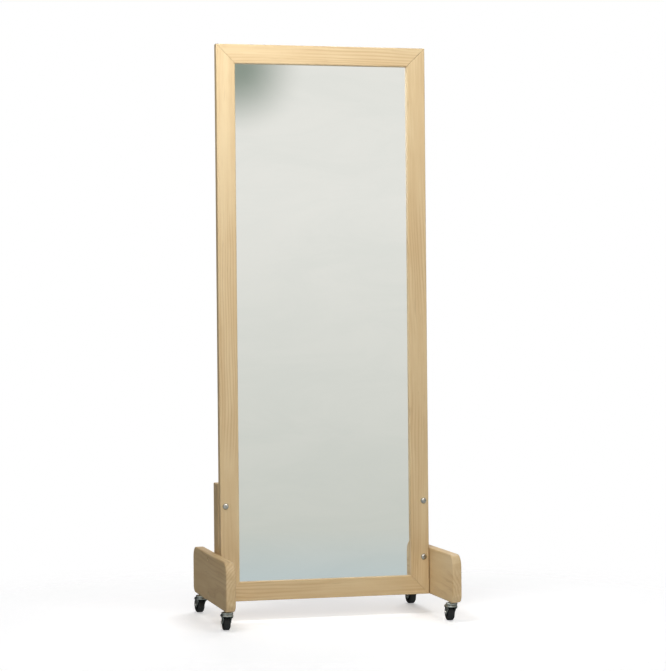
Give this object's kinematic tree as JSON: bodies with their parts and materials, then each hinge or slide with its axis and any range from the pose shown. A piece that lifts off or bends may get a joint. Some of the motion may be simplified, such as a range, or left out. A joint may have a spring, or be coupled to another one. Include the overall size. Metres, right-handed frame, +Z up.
{
  "type": "rolling floor mirror",
  "caption": "Tall wooden-framed dressing mirror bolted to short posts between plank feet that roll on swivel casters.",
  "frame": {"origin": "on the floor, at the centre of the footprint, midway between the feet", "axes": "+Z up, +X to the right of someone who faces the glass, +Y from the glass side to the back"},
  "size_m": [0.7882, 0.578, 1.896],
  "materials": {
    "oak": "satin clear lacquer on straight-grained light oak",
    "beech": "raw pressed beech",
    "silvered_glass": "polished, silvered at the back",
    "hardboard": "matt brown hardboard",
    "nickel": "bright nickel plated",
    "zinc": "zinc plated pressed steel",
    "hub_plastic": "moulded black",
    "tyre_rubber": "matt black"
  },
  "bodies": {
    "frame": {"left_stile": "oak", "right_stile": "oak", "top_rail": "oak", "bottom_rail": "oak", "left_post": "oak", "right_post": "oak", "left_foot": "oak", "right_foot": "oak", "back_stop_left": "oak", "back_stop_right": "oak", "back_stop_top": "oak", "back_stop_bottom": "oak", "biscuit_top_left": "beech", "biscuit_top_right": "beech", "biscuit_bottom_left": "beech", "biscuit_bottom_right": "beech", "mirror_pane": "silvered_glass", "backing_panel": "hardboard", "frame_bolt_left_lower": "nickel", "sleeve_nut_left_lower": "nickel", "foot_screw_left_lower": "zinc", "frame_bolt_left_upper": "nickel", "sleeve_nut_left_upper": "nickel", "foot_screw_left_upper": "zinc", "frame_bolt_right_lower": "nickel", "sleeve_nut_right_lower": "nickel", "foot_screw_right_lower": "zinc", "frame_bolt_right_upper": "nickel", "sleeve_nut_right_upper": "nickel", "foot_screw_right_upper": "zinc", "front_left_stem_socket": "zinc", "front_left_stem_race": "zinc", "front_right_stem_socket": "zinc", "front_right_stem_race": "zinc", "rear_left_stem_socket": "zinc", "rear_left_stem_race": "zinc", "rear_right_stem_socket": "zinc", "rear_right_stem_race": "zinc"},
    "front_left_swivel": {"front_left_ball_ring": "nickel", "front_left_fork": "zinc", "front_left_axle": "nickel"},
    "front_left_wheel": {"front_left_wheel_hub": "hub_plastic", "front_left_tyre": "tyre_rubber"},
    "front_right_swivel": {"front_right_ball_ring": "nickel", "front_right_fork": "zinc", "front_right_axle": "nickel"},
    "front_right_wheel": {"front_right_wheel_hub": "hub_plastic", "front_right_tyre": "tyre_rubber"},
    "rear_left_swivel": {"rear_left_ball_ring": "nickel", "rear_left_fork": "zinc", "rear_left_axle": "nickel"},
    "rear_left_wheel": {"rear_left_wheel_hub": "hub_plastic", "rear_left_tyre": "tyre_rubber"},
    "rear_right_swivel": {"rear_right_ball_ring": "nickel", "rear_right_fork": "zinc", "rear_right_axle": "nickel"},
    "rear_right_wheel": {"rear_right_wheel_hub": "hub_plastic", "rear_right_tyre": "tyre_rubber"}
  },
  "joints": [
    {"name": "front_left_swivel_turn", "type": "hinge", "parent": "frame", "child": "front_left_swivel", "pos_m": [-0.3733, -0.225, 0.065], "axis": [0, 0, 1], "continuous": true},
    {"name": "front_left_wheel_spin", "type": "hinge", "parent": "front_left_swivel", "child": "front_left_wheel", "pos_m": [-0.3733, -0.203, 0.0255], "axis": [1, 0, 0], "continuous": true},
    {"name": "front_right_swivel_turn", "type": "hinge", "parent": "frame", "child": "front_right_swivel", "pos_m": [0.3733, -0.225, 0.065], "axis": [0, 0, 1], "continuous": true},
    {"name": "front_right_wheel_spin", "type": "hinge", "parent": "front_right_swivel", "child": "front_right_wheel", "pos_m": [0.3733, -0.203, 0.0255], "axis": [1, 0, 0], "continuous": true},
    {"name": "rear_left_swivel_turn", "type": "hinge", "parent": "frame", "child": "rear_left_swivel", "pos_m": [-0.3733, 0.225, 0.065], "axis": [0, 0, 1], "continuous": true},
    {"name": "rear_left_wheel_spin", "type": "hinge", "parent": "rear_left_swivel", "child": "rear_left_wheel", "pos_m": [-0.37674, 0.24673, 0.0255], "axis": [0.9877, 0.1564, 0], "continuous": true},
    {"name": "rear_right_swivel_turn", "type": "hinge", "parent": "frame", "child": "rear_right_swivel", "pos_m": [0.3733, 0.225, 0.065], "axis": [0, 0, 1], "continuous": true},
    {"name": "rear_right_wheel_spin", "type": "hinge", "parent": "rear_right_swivel", "child": "rear_right_wheel", "pos_m": [0.37024, 0.24679, 0.0255], "axis": [0.9903, 0.1392, 0], "continuous": true}
  ]
}
